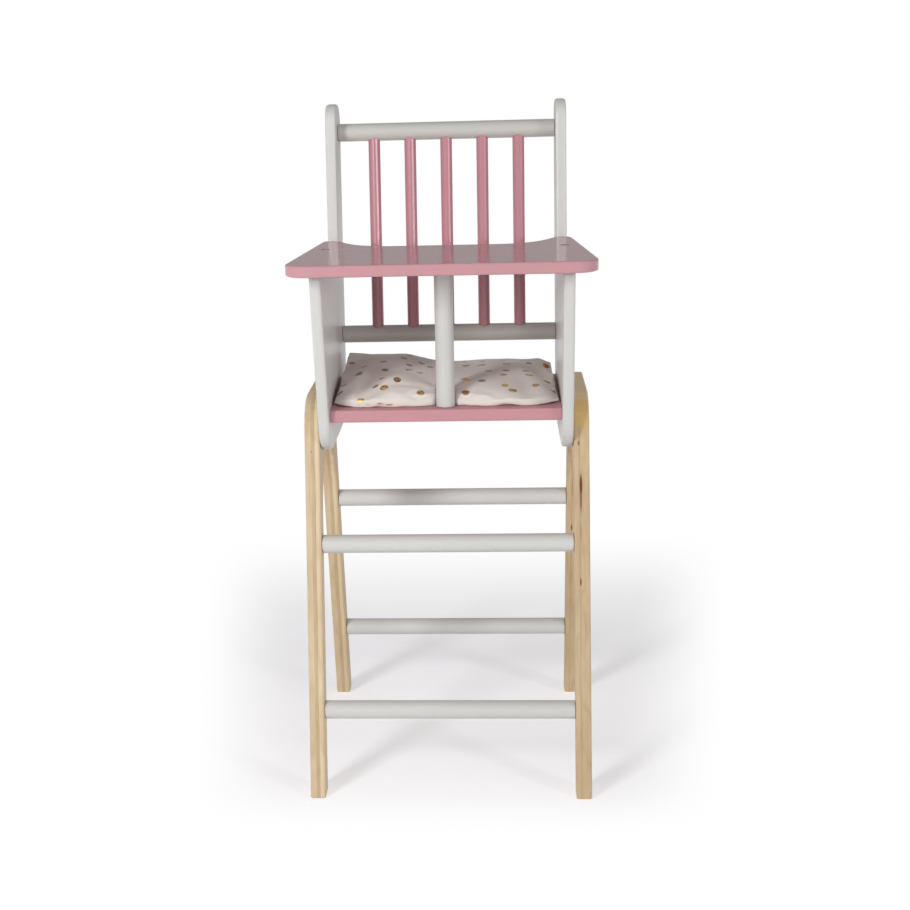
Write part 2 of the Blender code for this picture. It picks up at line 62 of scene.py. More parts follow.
def math_node(tree, operation, *values, clamp=False):
    """The result of one sum on numbers."""
    feeds = dict(enumerate(values))
    return add_node(tree, "Math", feeds, operation=operation, use_clamp=clamp).outputs[0]


def vector_node(tree, operation, *values):
    """The result of one sum on vectors: a length or product, or else a vector."""
    made = add_node(tree, "VectorMath", dict(enumerate(values)), operation=operation)
    return made.outputs["Value"] if operation in ("LENGTH", "DOT_PRODUCT") else made.outputs["Vector"]


def blend_colours(tree, share, first, second, how="MIX"):
    """Two colours mixed by a share. A colour may be a socket or linear RGBA."""
    feeds = {0: share, 6: first, 7: second}
    return add_node(tree, "Mix", feeds, data_type="RGBA", blend_type=how).outputs[2]


def spread(tree, value, low, high, to_low=0.0, to_high=1.0):
    """A value taken smoothly from one range to another."""
    feeds = {"Value": value, "From Min": low, "From Max": high, "To Min": to_low, "To Max": to_high}
    return add_node(tree, "MapRange", feeds, interpolation_type="SMOOTHSTEP").outputs["Result"]


def stretched(tree, place, scales):
    """A place scaled along each axis, so that what is drawn there is drawn out along the small ones."""
    return add_node(tree, "Mapping", {"Vector": place, "Scale": scales}).outputs["Vector"]


def noise_value(tree, place, scale, detail=3.0, roughness=0.5):
    """Noise from 0 to 1. The scale counts its waves in a metre."""
    feeds = {"Vector": place, "Scale": scale, "Detail": detail, "Roughness": roughness}
    return add_node(tree, "TexNoise", feeds).outputs[0]


def new_group(name, inputs, outputs):
    """A shader node group with named sockets. Returns its tree, its inputs and its output node."""
    tree = bpy.data.node_groups.new(name, "ShaderNodeTree")
    for socket, kind in inputs:
        tree.interface.new_socket(socket, in_out="INPUT", socket_type="NodeSocket" + kind)
    for socket, kind in outputs:
        tree.interface.new_socket(socket, in_out="OUTPUT", socket_type="NodeSocket" + kind)
    return tree, tree.nodes.new("NodeGroupInput").outputs, tree.nodes.new("NodeGroupOutput").inputs


def use_group(tree, group, feeds):
    """The outputs of a shader group in this material."""
    return add_node(tree, "Group", feeds, node_tree=group).outputs


def new_finish(name, roughness, **shader_values):
    """A material whose shader holds its plain values. Returns the material, its tree and its shader."""
    material = bpy.data.materials.new(name)
    material.use_nodes = True
    tree = material.node_tree
    shader = tree.nodes["Principled BSDF"]
    shader.inputs["Roughness"].default_value = roughness
    for socket, value in shader_values.items():
        shader.inputs[socket.replace("_", " ")].default_value = value
    return material, tree, shader


BUMP_STRENGTH = 0.5


def bumped(tree, height, distance):
    """A normal bent by a height."""
    feeds = {"Height": height, "Distance": distance, "Strength": BUMP_STRENGTH}
    return add_node(tree, "Bump", feeds).outputs["Normal"]


def finish_nodes(material, names):
    """Give CAD nodes their finish."""
    for name in names:
        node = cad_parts[name]
        for material_slot in node.material_slots:
            material_slot.material = material


GRAIN_STRETCH = (1.0, 1.0, 0.035)
FIBRES_PER_METRE = 900.0
RINGS_PER_METRE = 60.0
STREAKS_PER_METRE = 240.0
STREAK_RANGE = (0.42, 0.72)
RING_SHARPNESS = 2.2
# How much rings, streaks and fibres darken the wood, and how far a ring lies below the fibres
RING_SHARE = 0.50
STREAK_SHARE = 0.35
FIBRE_SHARE = 0.55
RING_HEIGHT = -0.3
RUBS_PER_METRE = 160.0
RUB_RANGE = (0.50, 0.66)
# How far a rounded edge turns from its face where rubbing starts and where it is full, as cosines
EDGE_TURN = (0.995, 0.90)


def grain_group():
    """Wood grain that runs along Z: fine fibres, broader year rings, and one height for both."""
    tree, given, result = new_group(
        "wood_grain",
        [("Place", "Vector"), ("Pale", "Color"), ("Dark", "Color"), ("Rings", "Float")],
        [("Colour", "Color"), ("Height", "Float")],
    )
    along = stretched(tree, given["Place"], GRAIN_STRETCH)
    fibres = noise_value(tree, along, FIBRES_PER_METRE, 4.0, 0.6)
    wander = noise_value(tree, along, RINGS_PER_METRE, 2.0)
    ring_place = math_node(tree, "MULTIPLY", wander, given["Rings"])
    rings = math_node(tree, "PINGPONG", ring_place, 1.0)
    rings = math_node(tree, "POWER", rings, RING_SHARPNESS)
    streaks = spread(tree, noise_value(tree, along, STREAKS_PER_METRE, 2.0), *STREAK_RANGE)
    share = math_node(tree, "MULTIPLY", streaks, STREAK_SHARE)
    share = math_node(tree, "MULTIPLY_ADD", rings, RING_SHARE, share)
    uneven = math_node(tree, "SUBTRACT", fibres, 0.5)
    share = math_node(tree, "MULTIPLY_ADD", uneven, FIBRE_SHARE, share, clamp=True)
    colour = blend_colours(tree, share, given["Pale"], given["Dark"])
    tree.links.new(colour, result["Colour"])
    tree.links.new(math_node(tree, "MULTIPLY_ADD", rings, RING_HEIGHT, fibres), result["Height"])
    return tree


def rub_group():
    """Where hands and boxes rub: the convex edges, broken up by noise."""
    tree, given, result = new_group(
        "rubbed_edges", [("Place", "Vector"), ("Width", "Float")], [("Rubbed", "Float"), ("Edge", "Float")]
    )
    rounded = add_node(tree, "Bevel", {"Radius": given["Width"]}, samples=4).outputs["Normal"]
    plain = add_node(tree, "NewGeometry").outputs["Normal"]
    turned = vector_node(tree, "DOT_PRODUCT", rounded, plain)
    edge = spread(tree, turned, *EDGE_TURN)
    patches = spread(tree, noise_value(tree, given["Place"], RUBS_PER_METRE, 4.0, 0.65), *RUB_RANGE)
    tree.links.new(math_node(tree, "MULTIPLY", edge, patches), result["Rubbed"])
    tree.links.new(edge, result["Edge"])
    return tree


WOOD_GRAIN = grain_group()
RUBBED_EDGES = rub_group()
FRAME_OUTER_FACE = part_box("leg_frame_right")[1].x
FRAME_DEPTH = FRAME_OUTER_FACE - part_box("leg_frame_right")[0].x
# Plies from the outer face inwards: the depth where each ends, and how pale it is from 0 to 1
LEFT_PLIES = ((0.0052, 0.62), (0.0082, 0.16), (0.0112, 0.95), (FRAME_DEPTH, 0.60))
RIGHT_PLIES = ((0.0082, 0.22), (0.0093, 0.00), (FRAME_DEPTH, 0.26))
PLY_BLUR = 0.0004
PLY_WANDER = 0.0012
WANDERS_PER_METRE = 30.0
PATCHES_PER_METRE = 16.0
PATCH_CHANGE = 0.14
PINE_RINGS = 9.0
GLUE_LINE = 0.0004
GLUE_LENGTHS_PER_METRE = 60.0
GLUE_SEEN = (0.15, 0.75)
PINE_LIGHT = (0.800, 0.655, 0.435, 1.0)
PINE_TAN = (0.590, 0.430, 0.255, 1.0)
PINE_STREAK = (0.83, 0.77, 0.68, 1.0)
PINE_END = (0.520, 0.415, 0.270, 1.0)
# Painted light: the colour and share of the lighter, upward-facing head of the right frame
PAINTED_HEAD_LIGHT = (0.900, 0.720, 0.460, 1.0)
HEAD_LIGHT_SHARE = 0.80
# How far a surface faces up or down for end grain, up for the painted light on the head, and to the front,
# which is -Y, for
# the marks: where each starts and where it is full
END_FACING = (0.45, 0.85)
HEAD_LIGHT_FACING = (0.22, 0.42)
FRONT_FACING = (-0.3, -0.7)
PINE_EDGE = 0.0012
EDGE_SHARE = 0.14
GLUE_BROWN = (0.38, 0.23, 0.11, 1.0)
AMBER = (0.76, 0.50, 0.18, 1.0)
RESIN_BROWN = (0.15, 0.042, 0.014, 1.0)
# Marks on the front edges of the legs: x, z, half width, half height and strength. First an amber patch at
# the head of the right leg, then streaks of resin, small knots, and small dark spots where the lower corners
# of the side panels meet the legs. The rim says where a mark ends and where it is full, in shares of its half
# sizes.
MARK_RIM = (1.1, 0.4)
AMBER_PATCHES = ((0.1120, 0.3200, 0.0115, 0.0180, 0.85),)
RESIN_KNOTS_AND_SPOTS = (
    (0.1116, 0.2600, 0.0015, 0.0120, 1.00),
    (0.1115, 0.2530, 0.0014, 0.0200, 0.75),
    (0.1112, 0.2210, 0.0006, 0.0110, 0.40),
    (-0.1050, 0.2945, 0.0009, 0.0022, 0.80),
    (0.1099, 0.2945, 0.0008, 0.0026, 0.85),
    (0.1042, 0.2669, 0.0007, 0.0016, 0.80),
    (-0.1136, 0.2897, 0.0006, 0.0013, 0.55),
    (0.1109, 0.1807, 0.0010, 0.0040, 0.85),
)


def ply_paleness(tree, depth, plies):
    """How pale the wood is at a depth from the outer face."""
    paleness = plies[0][1]
    for (end, before), (_, after) in zip(plies, plies[1:]):
        step = spread(tree, depth, end - PLY_BLUR, end + PLY_BLUR)
        paleness = math_node(tree, "MULTIPLY_ADD", step, after - before, paleness)
    return paleness


def marked(tree, place, marks):
    """Soft-edged ovals on the front edge of a leg."""
    strongest = 0.0
    for x, z, half_width, half_height, strength in marks:
        offset = vector_node(tree, "SUBTRACT", place, (x, 0.0, z))
        offset = vector_node(tree, "MULTIPLY", offset, (1 / half_width, 0.0, 1 / half_height))
        share = spread(tree, vector_node(tree, "LENGTH", offset), *MARK_RIM, 0.0, strength)
        strongest = math_node(tree, "MAXIMUM", share, strongest)
    return strongest


def make_plywood():
    material, tree, shader = new_finish("lacquered_pine_plywood", 0.52, Specular_IOR_Level=0.35)
    place = add_node(tree, "TexCoord").outputs["Object"]
    facing = add_node(tree, "TexCoord").outputs["Normal"]
    spots = add_node(tree, "SeparateXYZ", {0: place}).outputs
    facings = add_node(tree, "SeparateXYZ", {0: facing}).outputs
    depth = math_node(tree, "SUBTRACT", FRAME_OUTER_FACE, math_node(tree, "ABSOLUTE", spots["X"]))
    wander = noise_value(tree, stretched(tree, place, (1.0, 1.0, 0.4)), WANDERS_PER_METRE, 1.0)
    depth = math_node(tree, "MULTIPLY_ADD", math_node(tree, "SUBTRACT", wander, 0.5), PLY_WANDER, depth)

    # The plies: each frame is sawn from its own sheet
    on_right = math_node(tree, "GREATER_THAN", spots["X"], 0.0)
    left_pale = ply_paleness(tree, depth, LEFT_PLIES)
    right_pale = ply_paleness(tree, depth, RIGHT_PLIES)
    change = math_node(tree, "SUBTRACT", right_pale, left_pale)
    pale = math_node(tree, "MULTIPLY_ADD", on_right, change, left_pale)
    patches = noise_value(tree, place, PATCHES_PER_METRE, 2.0)
    patch = spread(tree, patches, 0.30, 0.72, -PATCH_CHANGE, PATCH_CHANGE)
    pale = math_node(tree, "ADD", pale, patch, clamp=True)
    sheet = blend_colours(tree, pale, PINE_TAN, PINE_LIGHT)
    streak = blend_colours(tree, 1.0, sheet, PINE_STREAK, "MULTIPLY")
    grain = use_group(tree, WOOD_GRAIN, {"Place": place, "Pale": sheet, "Dark": streak, "Rings": PINE_RINGS})

    # Glue lines, darker in some lengths than in others
    glue = 0.0
    for joint in (LEFT_PLIES[1][0], RIGHT_PLIES[0][0]):
        away = math_node(tree, "ABSOLUTE", math_node(tree, "SUBTRACT", depth, joint))
        glue = math_node(tree, "MAXIMUM", spread(tree, away, GLUE_LINE, 0.0), glue)
    lengths = noise_value(tree, stretched(tree, place, (1.0, 1.0, 0.2)), GLUE_LENGTHS_PER_METRE, 2.0)
    seen = spread(tree, lengths, 0.38, 0.66, *GLUE_SEEN)
    colour = blend_colours(tree, math_node(tree, "MULTIPLY", glue, seen), grain["Colour"], GLUE_BROWN)

    # Painted light on the upward-facing head of the right frame, standing in for light from above, then the
    # marks on the front edges
    ends = spread(tree, math_node(tree, "ABSOLUTE", facings["Z"]), *END_FACING)
    head = math_node(tree, "MULTIPLY", spread(tree, facings["Z"], *HEAD_LIGHT_FACING), on_right)
    colour = blend_colours(tree, math_node(tree, "MULTIPLY", head, HEAD_LIGHT_SHARE), colour, PAINTED_HEAD_LIGHT)
    front = spread(tree, facings["Y"], *FRONT_FACING)
    amber = math_node(tree, "MULTIPLY", marked(tree, place, AMBER_PATCHES), front)
    colour = blend_colours(tree, amber, colour, AMBER)
    resin = math_node(tree, "MULTIPLY", marked(tree, place, RESIN_KNOTS_AND_SPOTS), front)
    colour = blend_colours(tree, resin, colour, RESIN_BROWN)

    rubbed = use_group(tree, RUBBED_EDGES, {"Place": place, "Width": PINE_EDGE})
    colour = blend_colours(tree, math_node(tree, "MULTIPLY", rubbed["Edge"], EDGE_SHARE), colour, PINE_END)
    tree.links.new(colour, shader.inputs["Base Color"])
    rough = math_node(tree, "MULTIPLY_ADD", ends, 0.12, 0.50)
    tree.links.new(math_node(tree, "MULTIPLY_ADD", rubbed["Rubbed"], 0.15, rough), shader.inputs["Roughness"])
    height = math_node(tree, "MULTIPLY_ADD", glue, -0.4, grain["Height"])
    tree.links.new(bumped(tree, height, 0.00010), shader.inputs["Normal"])
    return material


finish_nodes(make_plywood(), ("leg_frame_left", "leg_frame_right"))


# Leg rails. Four round beech rods between the leg frames, sprayed white and held by a screw at each end.
# The film has a faint orange peel, and lets the grain of the rod show a little.
MOTTLES_PER_METRE = 14.0
SMEARS_PER_METRE = 48.0
PEEL_PER_METRE = 330.0
FILM_FIBRES_PER_METRE = 500.0
FILM_FIBRE_HEIGHT = 0.25
FILM_EDGE = 0.0014


def film_group():
    """A sprayed film of paint over wood: its colour, roughness and height."""
    tree, given, result = new_group(
        "paint_film",
        [("Place", "Vector"), ("Colour", "Color"), ("Worn", "Color"), ("Wear", "Float"), ("Gloss", "Float")],
        [("Colour", "Color"), ("Roughness", "Float"), ("Height", "Float")],
    )
    place = given["Place"]
    mottle = spread(tree, noise_value(tree, place, MOTTLES_PER_METRE, 2.0), 0.30, 0.72, 0.985, 1.01)
    colour = blend_colours(tree, 1.0, given["Colour"], mottle, "MULTIPLY")
    rubbed = use_group(tree, RUBBED_EDGES, {"Place": place, "Width": FILM_EDGE})
    worn = math_node(tree, "MULTIPLY_ADD", rubbed["Edge"], 0.5, rubbed["Rubbed"])
    colour = blend_colours(tree, math_node(tree, "MULTIPLY", worn, given["Wear"]), colour, given["Worn"])
    tree.links.new(colour, result["Colour"])
    smears = spread(tree, noise_value(tree, place, SMEARS_PER_METRE, 4.0, 0.6), 0.35, 0.75, -0.02, 0.04)
    rough = math_node(tree, "ADD", given["Gloss"], smears)
    tree.links.new(math_node(tree, "MULTIPLY_ADD", rubbed["Rubbed"], 0.08, rough), result["Roughness"])
    peel = noise_value(tree, place, PEEL_PER_METRE, 1.0)
    fibres = noise_value(tree, stretched(tree, place, (1.0, 1.0, 0.05)), FILM_FIBRES_PER_METRE, 2.0)
    height = math_node(tree, "MULTIPLY_ADD", fibres, FILM_FIBRE_HEIGHT, peel)
    tree.links.new(height, result["Height"])
    return tree


PAINT_FILM = film_group()
UPRIGHT = (0.0, 0.0, 0.0)
ACROSS = (0.0, math.radians(90), 0.0)


def make_paint(name, colour, worn, wear, gloss, peel, grain_along=UPRIGHT, **shader_values):
    """A painted finish: its wear at edges from 0 to 1, its roughness as gloss, its peel in metres. The grain
    beneath runs along Z once the given turn is made."""
    material, tree, shader = new_finish(name, gloss, **shader_values)
    place = add_node(tree, "TexCoord").outputs["Object"]
    place = add_node(tree, "Mapping", {"Vector": place, "Rotation": grain_along}).outputs["Vector"]
    film = use_group(
        tree, PAINT_FILM, {"Place": place, "Colour": colour, "Worn": worn, "Wear": wear, "Gloss": gloss}
    )
    tree.links.new(film["Colour"], shader.inputs["Base Color"])
    tree.links.new(film["Roughness"], shader.inputs["Roughness"])
    tree.links.new(bumped(tree, film["Height"], peel), shader.inputs["Normal"])
    return material


WHITE = (0.692, 0.692, 0.664, 1.0)
WHITE_WORN = (0.42, 0.41, 0.385, 1.0)
white_rail = make_paint(
    "white_paint_on_rails", WHITE, WHITE_WORN, wear=0.10, gloss=0.34, peel=0.000012, grain_along=ACROSS
)
finish_nodes(white_rail, ("front_upper_rail", "front_lower_rail", "rear_upper_rail", "rear_lower_rail"))


# Side panels. Each is one painted board from the top of the back post to the cheek beside the seat,
# with its edges rounded over; the paint is thinnest there and shows a little grey.
white_board = make_paint("white_paint_on_boards", WHITE, WHITE_WORN, wear=0.12, gloss=0.38, peel=0.000010)
finish_nodes(white_board, ("side_panel_left", "side_panel_right"))


# Seat board and tray. Boards sprayed pink, the seat satin; the tray has a second, glossier coat that
# mirrors the back. Screws hold the seat by its ends, and the tray from above near its rear corners.
PINK = (0.600, 0.303, 0.330, 1.0)
PINK_WORN = (0.78, 0.50, 0.52, 1.0)
seat_pink = make_paint(
    "pink_paint_on_seat", PINK, PINK_WORN, wear=0.05, gloss=0.42, peel=0.000010, grain_along=ACROSS,
    Specular_IOR_Level=0.2,
)
finish_nodes(seat_pink, ("seat_board",))
tray_pink = make_paint(
    "gloss_pink_on_tray", PINK, PINK_WORN, wear=0.08, gloss=0.15, peel=0.000004, grain_along=ACROSS
)
finish_nodes(tray_pink, ("tray",))
# A painted ring of shade round each tray screw: where it is full and where it ends, how strong and how dark
RIM_INNER = 0.0034
RIM_OUTER = 0.0046
HOLE_SHADE_SHARE = 0.92
HOLE_SHADE_DARK = (0.075, 0.035, 0.032, 1.0)


def darken_rims(material, screws):
    """A painted ring of shade round each screw sunk into a painted board from above, standing in for the
    shadow in its hole.
    """
    tree = material.node_tree
    painted = tree.nodes["Principled BSDF"].inputs["Base Color"]
    colour = painted.links[0].from_socket
    place = add_node(tree, "TexCoord").outputs["Object"]
    for name in screws:
        low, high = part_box(name)
        offset = vector_node(tree, "SUBTRACT", place, ((low.x + high.x) / 2, (low.y + high.y) / 2, high.z))
        away = vector_node(tree, "LENGTH", vector_node(tree, "MULTIPLY", offset, (1.0, 1.0, 0.25)))
        rim = math_node(tree, "MULTIPLY", spread(tree, away, RIM_OUTER, RIM_INNER), HOLE_SHADE_SHARE)
        colour = blend_colours(tree, rim, colour, HOLE_SHADE_DARK)
    tree.links.new(colour, painted)


darken_rims(tray_pink, ("tray_screw_left", "tray_screw_right"))


# Back and centre post. White rods, painted darker and greyer than the leg rails as painted shade for the
# tray's shadow and the dim light from above. The back rails are screwed between the side panels, and five
# pink spindles are glued into blind sockets in them. The post stands on the seat, screwed from below, with
# its top in a socket under the tray.
# Painted shade: the back rails' white is darker and greyer than the leg rails', for the shade under the tray
# and the dim light from above
SHADED_BACK_WHITE = (0.623, 0.612, 0.571, 1.0)
shaded_white_back = make_paint(
    "white_paint_on_back_with_painted_shade", SHADED_BACK_WHITE, WHITE_WORN, wear=0.10, gloss=0.34, peel=0.000012, grain_along=ACROSS
)
finish_nodes(shaded_white_back, ("top_back_rail", "lower_back_rail"))
# Painted shade: the post's white is darker than the leg rails', for the shade under the tray
SHADED_POST_WHITE = (0.644, 0.644, 0.618, 1.0)
shaded_white_post = make_paint("white_paint_on_post_with_painted_shade", SHADED_POST_WHITE, WHITE_WORN, wear=0.10, gloss=0.34, peel=0.000010)
finish_nodes(shaded_white_post, ("centre_post",))
SPINDLE_PINK = (0.553, 0.244, 0.282, 1.0)
SPINDLE_WORN = (0.72, 0.42, 0.45, 1.0)
spindle_pink = make_paint(
    "pink_paint_on_spindles", SPINDLE_PINK, SPINDLE_WORN, wear=0.12, gloss=0.19, peel=0.000008
)
finish_nodes(spindle_pink, ["back_spindle_" + str(number) for number in range(1, 6)])


# Screws. Countersunk steel screws, zinc plated, rubbed bright round the rim and clouded dull and clean
# elsewhere.
ZINC_DULL = (0.50, 0.49, 0.45, 1.0)
ZINC_CLEAN = (0.66, 0.65, 0.62, 1.0)
ZINC_BRIGHT = (0.78, 0.77, 0.74, 1.0)
ZINC_EDGE = 0.0004
CLOUDS_PER_METRE = 700.0
SCRATCHES_PER_METRE = 3000.0


def make_zinc():
    material, tree, shader = new_finish("zinc_plated_steel", 0.38, Metallic=1.0)
    place = add_node(tree, "TexCoord").outputs["Object"]
    cloud = noise_value(tree, place, CLOUDS_PER_METRE, 4.0, 0.6)
    rubbed = use_group(tree, RUBBED_EDGES, {"Place": place, "Width": ZINC_EDGE})
    colour = blend_colours(tree, spread(tree, cloud, 0.35, 0.7), ZINC_DULL, ZINC_CLEAN)
    colour = blend_colours(tree, math_node(tree, "MULTIPLY", rubbed["Edge"], 0.6), colour, ZINC_BRIGHT)
    tree.links.new(colour, shader.inputs["Base Color"])
    tree.links.new(spread(tree, cloud, 0.3, 0.7, 0.30, 0.52), shader.inputs["Roughness"])
    scratches = noise_value(tree, stretched(tree, place, (1.0, 0.15, 1.0)), SCRATCHES_PER_METRE, 2.0)
    tree.links.new(bumped(tree, scratches, 0.00003), shader.inputs["Normal"])
    return material


finish_nodes(make_zinc(), [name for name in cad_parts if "screw" in name])


# Cushion. Two panels of pale cotton with scattered foil dots, sewn round the rim, turned and filled with
# wadding. It lies loose on the seat, notched round the centre post, its rear under the lower back rail.
SEAT_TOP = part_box("seat_board")[1].z
PAD_LOW, PAD_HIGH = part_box("seat_cushion")
PAD_HALF_WIDTH = (PAD_HIGH.x - PAD_LOW.x) / 2
POST_LOW, POST_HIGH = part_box("centre_post")
POST_MIDDLE = (POST_LOW + POST_HIGH).xy / 2
POST_REAR = POST_HIGH.y
POST_CLEARANCE = 0.0006
NOTCH_CLEARANCE = 0.0016
NOTCH_HALF_WIDTH = 0.0071
# How far the front edge lies back beside the post and at the corners
LOBE_SETBACK = 0.0052
LOBE_WIDTH = 0.0240
CORNER_SETBACK = 0.0110
# How squarely the corners, the notch and the swollen sections turn: a higher power turns later
CORNER_POWER = 6
NOTCH_POWER = 6
SIDE_POWER = 4
FRONT_POWER = 7
REAR_POWER = 4
# How far the filling draws the outline in at the rear corners, the sides and the rear
REAR_CORNER_DRAW = 0.0030
SIDE_DRAW = 0.0014
REAR_DRAW = 0.0025
# Rise of the seam over the seat: along the front, then along the rear on the left, in the middle and
# on the right
SEAM_RISE_FRONT = 0.0026
SEAM_RISE_LEFT = 0.0212
SEAM_RISE_MIDDLE = 0.0140
SEAM_RISE_RIGHT = 0.0152
LEFT_SLOPE_ENDS = (0.000, 0.048)
RIGHT_SLOPE_ENDS = (0.008, 0.042)
CORNER_LIFT = 0.0020
EAR_DROP = 0.0035
EAR_WIDTH = 0.0120
# How high the filled pad stands over its seam along the front and the rear, and between which shares of
# its width the front changes from left to right
PUFF_FRONT_LEFT = 0.0124
PUFF_FRONT_RIGHT = 0.0092
PUFF_REAR = 0.0030
PUFF_CHANGE = (-0.35, 0.25)
MIDDLE_DIP = 0.0012
DIP_HALF_WIDTH = 0.0210
# Folds in the upper cloth, each from one place to another in plan, with its rise and its width
FOLDS = (
    (Vector((-0.0640, -0.0470)), Vector((-0.0170, -0.0100)), 0.0026, 0.0065),
    (Vector((-0.0660, -0.0260)), Vector((-0.0300, 0.0040)), -0.0020, 0.0080),
    (Vector((-0.0470, -0.0405)), Vector((-0.0110, -0.0440)), -0.0015, 0.0028),
    (Vector((0.0180, -0.0220)), Vector((0.0460, 0.0080)), 0.0009, 0.0080),
    (Vector((0.0760, 0.0250)), Vector((0.0860, -0.0300)), -0.0010, 0.0060),
    (Vector((0.0800, 0.0430)), Vector((0.0930, 0.0580)), -0.0018, 0.0035),
)
FOLD_END_SHARE = 0.35
PAD_COLUMNS = 60
PAD_ROWS = 30
SWELL_LIMIT = 0.0030
SWELL_FRAMES = 20
# Beside the rear seam the cloth is pulled taut and swells less
REAR_SWELL_SHARE = 0.35
REAR_TAUT_REACH = 0.0400
PUCKER_DEPTH = 0.0006
REAR_PUCKER_SHARE = 0.15
PUCKER_REACH = 0.0090
PUCKER_PITCH = 0.0070
WAVE_DEPTH = 0.0005
WAVES_PER_METRE = (38.0, 30.0, 20.0)
WAVE_REAR_CALM = 0.0300
LOWER_CLOTH_TOP = 0.006
FACING_UP = 0.2
LEAST_GAP_TO_SEAT = 0.0003
END_CROWDING = 0.7
UNDERSIDE_SHIFT = 0.5


def finer_at_ends(step, count):
    """The share of the way at a step, with the steps crowded towards both ends."""
    even = step / count
    return even - END_CROWDING * math.sin(2 * math.pi * even) / (2 * math.pi)


def pad_place(across, along):
    """Where a point of the cloth lies in plan: shares run from -1 to 1."""
    rearward = (1 + along) / 2
    notch_depth = POST_REAR + NOTCH_CLEARANCE - PAD_LOW.y
    from_middle = abs(across) * PAD_HALF_WIDTH
    front = PAD_LOW.y + CORNER_SETBACK * abs(across) ** CORNER_POWER
    front += LOBE_SETBACK * math.exp(-((from_middle / LOBE_WIDTH) ** 2))
    front += notch_depth * math.exp(-((from_middle / NOTCH_HALF_WIDTH) ** NOTCH_POWER))
    rear = PAD_HIGH.y - REAR_DRAW * (1 - across ** 2)
    draw = SIDE_DRAW * (1 - along ** 2) + REAR_CORNER_DRAW * rearward ** 4
    return Vector((across * (PAD_HALF_WIDTH - draw), front + (rear - front) * rearward))


def eased(value, start, end):
    """A smooth climb from 0 at the start to 1 at the end."""
    share = max(0.0, min(1.0, (value - start) / (end - start)))
    return share * share * (3 - 2 * share)


def pad_heights(across, along):
    """Heights of the lower and upper cloth over the seat."""
    rearward = (1 + along) / 2
    x = across * PAD_HALF_WIDTH
    rear = SEAM_RISE_MIDDLE + (SEAM_RISE_LEFT - SEAM_RISE_MIDDLE) * eased(-x, *LEFT_SLOPE_ENDS)
    rear += (SEAM_RISE_RIGHT - SEAM_RISE_MIDDLE) * eased(x, *RIGHT_SLOPE_ENDS)
    rear -= EAR_DROP * eased(x, PAD_HALF_WIDTH - EAR_WIDTH, PAD_HALF_WIDTH)
    rear += CORNER_LIFT * eased(-x, PAD_HALF_WIDTH - 2 * EAR_WIDTH, PAD_HALF_WIDTH)
    seam = SEAM_RISE_FRONT + (rear - SEAM_RISE_FRONT) * rearward
    inward = 1 - abs(along) ** (REAR_POWER if along > 0 else FRONT_POWER)
    swell = math.sqrt(max(0.0, (1 - abs(across) ** SIDE_POWER) * inward))
    puff_front = PUFF_FRONT_LEFT + (PUFF_FRONT_RIGHT - PUFF_FRONT_LEFT) * eased(across, *PUFF_CHANGE)
    puff = puff_front + (PUFF_REAR - puff_front) * rearward
    puff -= MIDDLE_DIP * math.exp(-((x / DIP_HALF_WIDTH) ** 2))
    return seam * (1 - min(1.0, 2 * swell)), seam + swell * puff


rim_places = set()


def on_rim(place):
    return tuple(round(value, 5) for value in place) in rim_places


def sewn_pad():
    """Both panels of cloth on one grid, with the cloth's own coordinates in metres as its UV map."""
    shape = bmesh.new()
    cloth = shape.loops.layers.uv.new("cloth")
    half = PAD_COLUMNS // 2
    upper = {}
    lower = {}
    run = {}
    for column in range(PAD_COLUMNS + 1):
        across = math.copysign(finer_at_ends(abs(column - half), half), column - half)
        travelled = 0.0
        for row in reversed(range(PAD_ROWS + 1)):
            along = 2 * finer_at_ends(row, PAD_ROWS) - 1
            place = pad_place(across, along)
            low, high = pad_heights(across, along)
            upper[column, row] = shape.verts.new((place.x, place.y, SEAT_TOP + high))
            rim = column in (0, PAD_COLUMNS) or row in (0, PAD_ROWS)
            if rim:
                lower[column, row] = upper[column, row]
                rim_places.add(tuple(round(value, 5) for value in upper[column, row].co))
            else:
                lower[column, row] = shape.verts.new((place.x, place.y, SEAT_TOP + low))
            if row < PAD_ROWS:
                travelled += (upper[column, row].co - upper[column, row + 1].co).length
            run[column, row] = (across * PAD_HALF_WIDTH, -travelled)
    for column in range(PAD_COLUMNS):
        for row in range(PAD_ROWS):
            corners = ((column, row), (column + 1, row), (column + 1, row + 1), (column, row + 1))
            for sheet, ring, shift in ((upper, corners, 0.0), (lower, corners[::-1], UNDERSIDE_SHIFT)):
                face = shape.faces.new([sheet[corner] for corner in ring])
                for loop, corner in zip(face.loops, ring):
                    loop[cloth].uv = (run[corner][0] + shift, run[corner][1])
    mesh = bpy.data.meshes.new("cotton_cushion")
    shape.to_mesh(mesh)
    shape.free()
    return mesh


def settle(item):
    """Leave an object with the mesh that its modifiers make, and no modifiers."""
    graph = bpy.context.evaluated_depsgraph_get()
    shown = item.evaluated_get(graph)
    mesh = bpy.data.meshes.new_from_object(shown, preserve_all_data_layers=True, depsgraph=graph)
    item.modifiers.clear()
    item.data = mesh


